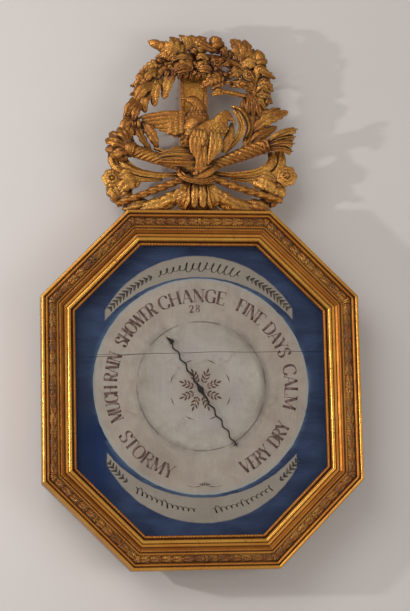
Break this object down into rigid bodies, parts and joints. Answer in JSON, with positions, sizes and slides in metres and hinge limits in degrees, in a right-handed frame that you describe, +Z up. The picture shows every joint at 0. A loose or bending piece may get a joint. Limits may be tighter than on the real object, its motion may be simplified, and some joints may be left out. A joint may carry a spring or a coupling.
{
  "type": "wheel barometer",
  "caption": "Wall barometer with a steel hand on a round painted dial, driven by a siphon tube, float and counterweight, in an octagonal carved gilt frame with a pierced crest.",
  "frame": {"origin": "on the wall plane at the back of the case, straight behind the arbor of the hand", "axes": "+Z up, +X to the right seen from the front, +Y into the wall; the dial faces -Y"},
  "size_m": [0.56, 0.0977, 0.9576],
  "materials": {
    "gilt_moulding": "water gilding on bole, rubbed and toned",
    "gilt_carving": "water gilding on bole, carved, dark in the hollows",
    "case_wood": "old limewood and pine, waxed brown",
    "iron": "dull old iron",
    "window_glass": "old clear sheet glass",
    "slip_paint": "painted dark blue",
    "dial_paint": "oil paint, blue ground and off-white disc with brown letters",
    "brass": "old brass, slightly dull",
    "blued_steel": "blued steel, dark",
    "tube_glass": "drawn glass tube",
    "mercury": "liquid mercury",
    "silk": "waxed silk thread"
  },
  "bodies": {
    "case_and_frame": {"rail_top": "gilt_moulding", "rail_top_right": "gilt_moulding", "rail_right": "gilt_moulding", "rail_bottom_right": "gilt_moulding", "rail_bottom": "gilt_moulding", "rail_bottom_left": "gilt_moulding", "rail_left": "gilt_moulding", "rail_top_left": "gilt_moulding", "case_top": "case_wood", "case_top_right": "case_wood", "case_right": "case_wood", "case_bottom_right": "case_wood", "case_bottom": "case_wood", "case_bottom_left": "case_wood", "case_left": "case_wood", "case_top_left": "case_wood", "back_panel": "case_wood", "back_screws": "iron", "glass_pane": "window_glass", "glass_slips": "slip_paint", "dial_board_upper": "dial_paint", "dial_board_lower": "dial_paint", "dial_battens": "case_wood", "batten_screws": "iron", "front_bush": "brass", "cock": "brass", "cock_screws": "iron", "siphon_tube": "tube_glass", "mercury_column": "mercury", "mercury_low_limb": "mercury", "tube_blocks": "case_wood", "tube_clamps": "brass", "clamp_screws": "iron", "tube_housing": "gilt_moulding", "housing_cover": "gilt_moulding", "cover_pins": "brass", "hanger_plate": "iron", "hanger_screws": "iron", "wreath_left": "gilt_carving", "wreath_right": "gilt_carving", "dove_left": "gilt_carving", "dove_right": "gilt_carving", "torch_and_quiver": "gilt_carving", "ribbon_left": "gilt_carving", "ribbon_right": "gilt_carving", "streamers": "gilt_carving", "acanthus_shell": "gilt_carving", "spray_left": "gilt_carving", "spray_right": "gilt_carving"},
    "hand_arbor": {"arbor": "blued_steel", "hand": "blued_steel", "hand_nut": "brass", "pulley": "brass"},
    "float": {"float": "tube_glass", "float_thread": "silk"},
    "counterweight": {"counterweight": "brass", "weight_thread": "silk"}
  },
  "joints": [
    {"name": "hand_turn", "type": "hinge", "parent": "case_and_frame", "child": "hand_arbor", "pos_m": [0, 0, 0], "axis": [0, 1, 0], "range_deg": [-120, 180]},
    {"name": "float_travel", "type": "slide", "parent": "case_and_frame", "child": "float", "axis": [0, 0, 1], "range_m": [-0.021, 0.015], "deforming": ["float_thread", "mercury_low_limb"]},
    {"name": "counterweight_travel", "type": "slide", "parent": "case_and_frame", "child": "counterweight", "axis": [0, 0, 1], "range_m": [-0.015, 0.021], "deforming": ["weight_thread"]}
  ],
  "couplings": [
    {"joint": "float_travel", "follows": "hand_turn", "m_per_rad": -0.0064617},
    {"joint": "counterweight_travel", "follows": "hand_turn", "m_per_rad": 0.0064617}
  ]
}
